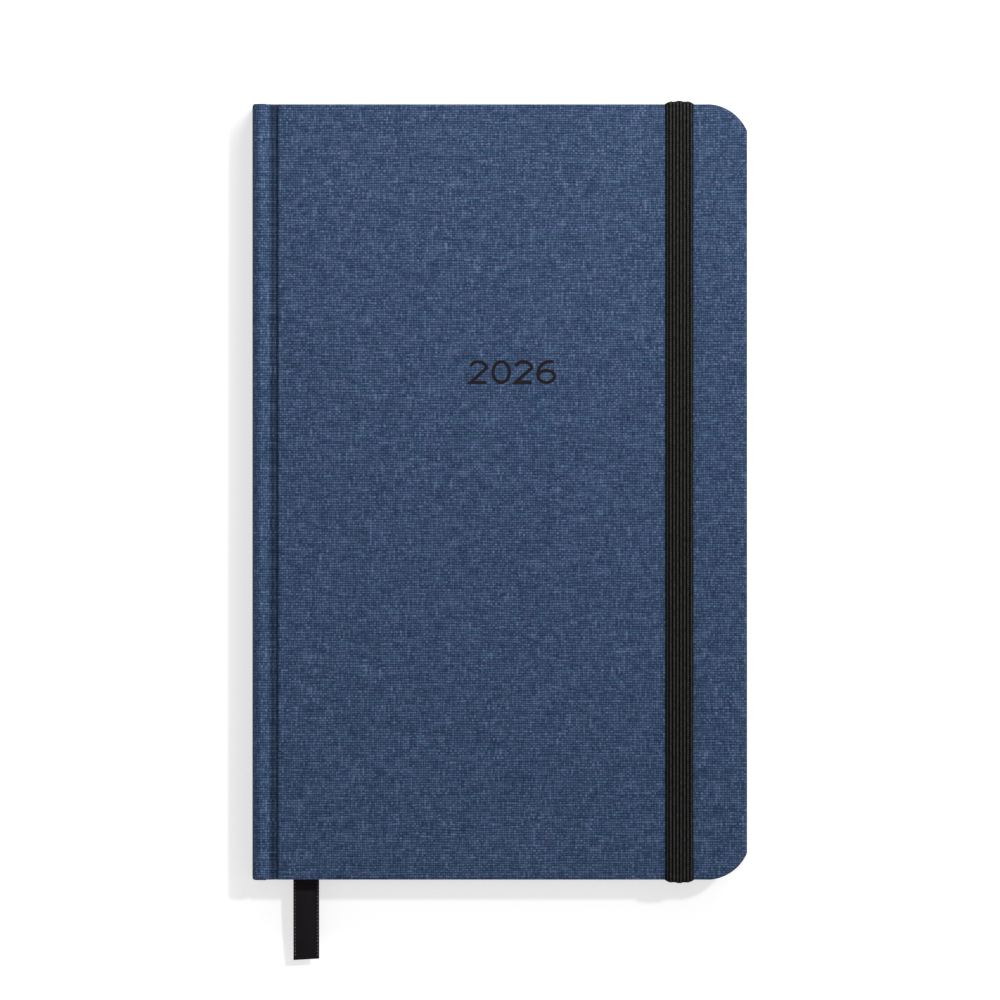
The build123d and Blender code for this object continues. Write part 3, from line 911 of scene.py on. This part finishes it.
def finish_cad_nodes():
    """Materials for the CAD nodes that stay: boards, linings, thread, strap ends, year and plain paper."""
    board = plain_noise("grey_board", linear(128, 122, 112), linear(160, 154, 142), 1.2)
    kraft = plain_noise("kraft_paper", linear(150, 118, 82), linear(176, 144, 104), 1.5, 0.02)
    thread = plain_noise("linen_thread", linear(214, 208, 194), linear(236, 232, 222), 4.0, 0.03)
    elastic = plain_noise("elastic_end", linear(14, 14, 15), linear(48, 48, 48), 3.0, 0.08)
    page = paper("page_fold", PAGE_COLOURS, rides_cad=True)
    endpaper = paper("endpaper_fold", ENDPAPER_COLOURS, rides_cad=True)
    looks = {
        "front_board": board, "back_board": board, "spine_board": board, "spine_liner": kraft,
        "year_stamp": stamp_pigment(),
        "sewing_thread": thread, "strap_end_head": elastic, "strap_end_tail": elastic,
        "signature_01_fold": page, "front_endpaper_fold": endpaper, "back_flyleaf": endpaper,
    }
    mull = gauze()
    for node in ("spine_mull", "front_mull_flap", "back_mull_flap"):
        looks[node] = mull
    for node, look in looks.items():
        slots = frame["nodes"][node].data.materials
        slots.clear()
        slots.append(look)


# ---------------------------------------------------------------- floor, light and camera

FIELD = 270.8
LENS_DISTANCE = 4000.0
VIEW_CENTRE = (0.08, -2.18)
SENSOR = 36
FLOOR_HALF = 4000
FLOOR_DROP = 0.02
FLOOR_TONE = 0.45
FLOOR_GLOW = 0.61
SKY = 0.52
# name, kind, place, strength, width (degrees for the sun, millimetres for the lamp)
LAMPS = (("key", "SUN", (523, 397, 1000), 1.5, 4), ("head_fill", "AREA", (110, 300, 300), 1.6, 200))


def keep_off_paper(lamp):
    """Stops a lamp from lighting the paper, whose open leaves stand close to it and would glare."""
    paper = bpy.data.collections.new("paper")
    for piece in bpy.context.scene.objects:
        if piece.active_material in PAPERS:
            paper.objects.link(piece)
    for item in paper.collection_objects:
        item.light_linking.link_state = "EXCLUDE"
    lamp.light_linking.receiver_collection = paper


def build_stage():
    """A pale floor, a white backdrop, a soft sun from beyond the head and a lamp near the head."""
    scene = bpy.context.scene
    scene.view_settings.view_transform = "Standard"
    material, _, surface, _ = start_material("floor_white", 1.0, rides_cad=True)
    surface.inputs["Base Color"].default_value = (FLOOR_TONE, FLOOR_TONE, FLOOR_TONE, 1)
    surface.inputs["Specular IOR Level"].default_value = 0.0
    surface.inputs["Emission Color"].default_value = (1, 1, 1, 1)
    surface.inputs["Emission Strength"].default_value = FLOOR_GLOW
    corners = [(FLOOR_HALF * i, FLOOR_HALF * k, -FLOOR_DROP) for i, k in ((-1, -1), (1, -1), (1, 1), (-1, 1))]
    floor = make_piece("floor", corners, [(0, 1, 2, 3)], material)

    world = bpy.data.worlds.new("sky")
    world.use_nodes = True
    world.node_tree.nodes["Background"].inputs[0].default_value = (1, 1, 1, 1)
    # white where the camera sees it, dimmer as a light
    seen = shade(world.node_tree, "LightPath").outputs["Is Camera Ray"]
    strength = calc(world.node_tree, "MAXIMUM", seen, SKY)
    world.node_tree.links.new(strength, world.node_tree.nodes["Background"].inputs[1])
    scene.world = world

    for name, kind, place, power, width in LAMPS:
        lamp = bpy.data.lights.new(name, kind)
        lamp.energy = power
        if kind == "SUN":
            lamp.angle = math.radians(width)
        else:
            lamp.size = width * MM
        holder = bpy.data.objects.new(name, lamp)
        holder.location = [c * MM for c in place]
        holder.rotation_euler = (Vector((0, 0, 0)) - holder.location).to_track_quat("-Z", "Y").to_euler()
        scene.collection.objects.link(holder)
        if kind == "AREA":
            keep_off_paper(holder)

    camera = bpy.data.cameras.new("camera")
    camera.sensor_width = SENSOR
    camera.lens = SENSOR * LENS_DISTANCE / FIELD
    camera.clip_end = 20
    holder = bpy.data.objects.new("camera", camera)
    holder.location = (VIEW_CENTRE[0] * MM, VIEW_CENTRE[1] * MM, (THICK + LENS_DISTANCE) * MM)
    scene.collection.objects.link(holder)
    scene.camera = holder


build_case()
build_paper()
build_strap()
build_ribbon()
build_stitches()
build_bands()
finish_cad_nodes()
build_stage()
